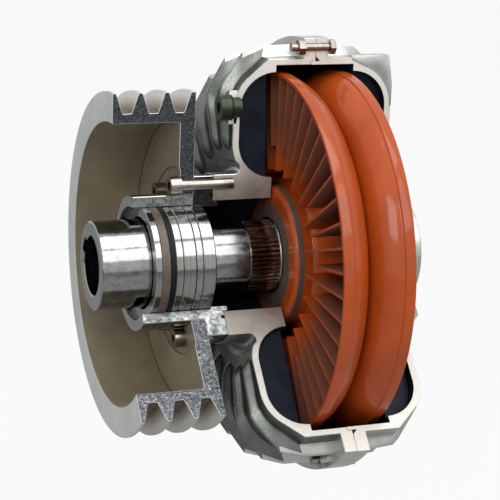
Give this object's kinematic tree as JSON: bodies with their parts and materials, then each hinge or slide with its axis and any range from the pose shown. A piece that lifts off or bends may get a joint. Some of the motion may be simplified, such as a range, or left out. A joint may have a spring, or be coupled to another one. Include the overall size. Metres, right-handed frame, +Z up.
{
  "type": "fluid coupling",
  "caption": "Belt-driven fluid coupling cut open for display: hollow input shaft, two-sided vaned wheel, ribbed two-part casing, V-belt pulley.",
  "frame": {"origin": "centre of the motor bore at its mouth, where its wall starts behind the chamfer, on the axis", "axes": "+X along the axis away from the motor, -X out of the motor bore's mouth, +Z up with one face of the display cut straight up"},
  "size_m": [0.2363, 0.2899, 0.315],
  "materials": {
    "machined_steel": "polished turned steel",
    "sleeve_iron": "machined iron, bright cut faces",
    "pulley_iron": "machined cast iron",
    "cast_aluminium": "as-cast aluminium alloy",
    "orange_paint": "glossy orange paint",
    "seal_brown": "brown fabric-filled resin",
    "black_rubber": "black rubber",
    "green_plug": "dark olive green paint"
  },
  "bodies": {
    "input_rotor": {"hollow_shaft": "machined_steel", "wheel": "orange_paint", "wheel_retaining_ring": "machined_steel", "front_bearing_inner_ring": "machined_steel", "middle_bearing_inner_ring": "machined_steel", "inner_spacer": "machined_steel", "shaft_circlip": "machined_steel", "rear_bearing_inner_ring": "machined_steel", "rear_distance_ring": "machined_steel", "shaft_lock_nut": "machined_steel"},
    "output_rotor": {"pulley": "pulley_iron", "bearing_sleeve": "sleeve_iron", "front_casing": "cast_aluminium", "rear_casing": "cast_aluminium", "casing_bolts": "machined_steel", "casing_nuts": "machined_steel", "casing_o_ring": "black_rubber", "pulley_screws": "machined_steel", "sleeve_o_ring": "black_rubber", "filler_plug": "green_plug", "plug_washer": "black_rubber", "front_bearing_outer_ring": "machined_steel", "middle_bearing_outer_ring": "machined_steel", "outer_spacer": "machined_steel", "seal_cover": "machined_steel", "seal_body": "seal_brown", "seal_rubber": "black_rubber", "seal_spacer": "machined_steel", "rear_bearing_outer_ring": "machined_steel", "rear_cap": "cast_aluminium"},
    "front_roller_set": {"front_bearing_rollers": "machined_steel", "front_bearing_cage": "machined_steel"},
    "middle_roller_set": {"middle_bearing_rollers": "machined_steel", "middle_bearing_cage": "machined_steel"},
    "rear_roller_set": {"rear_bearing_rollers": "machined_steel", "rear_bearing_cage": "machined_steel"}
  },
  "joints": [
    {"name": "output_spin", "type": "hinge", "parent": "input_rotor", "child": "output_rotor", "pos_m": [0.1, 0, 0], "axis": [1, 0, 0], "continuous": true},
    {"name": "front_rollers_spin", "type": "hinge", "parent": "input_rotor", "child": "front_roller_set", "pos_m": [0.0595, 0, 0], "axis": [1, 0, 0], "continuous": true},
    {"name": "middle_rollers_spin", "type": "hinge", "parent": "input_rotor", "child": "middle_roller_set", "pos_m": [0.0738, 0, 0], "axis": [1, 0, 0], "continuous": true},
    {"name": "rear_rollers_spin", "type": "hinge", "parent": "input_rotor", "child": "rear_roller_set", "pos_m": [0.2125, 0, 0], "axis": [1, 0, 0], "continuous": true}
  ],
  "couplings": [
    {"joint": "front_rollers_spin", "follows": "output_spin", "ratio": 0.5422},
    {"joint": "middle_rollers_spin", "follows": "output_spin", "ratio": 0.5422},
    {"joint": "rear_rollers_spin", "follows": "output_spin", "ratio": 0.5385}
  ]
}
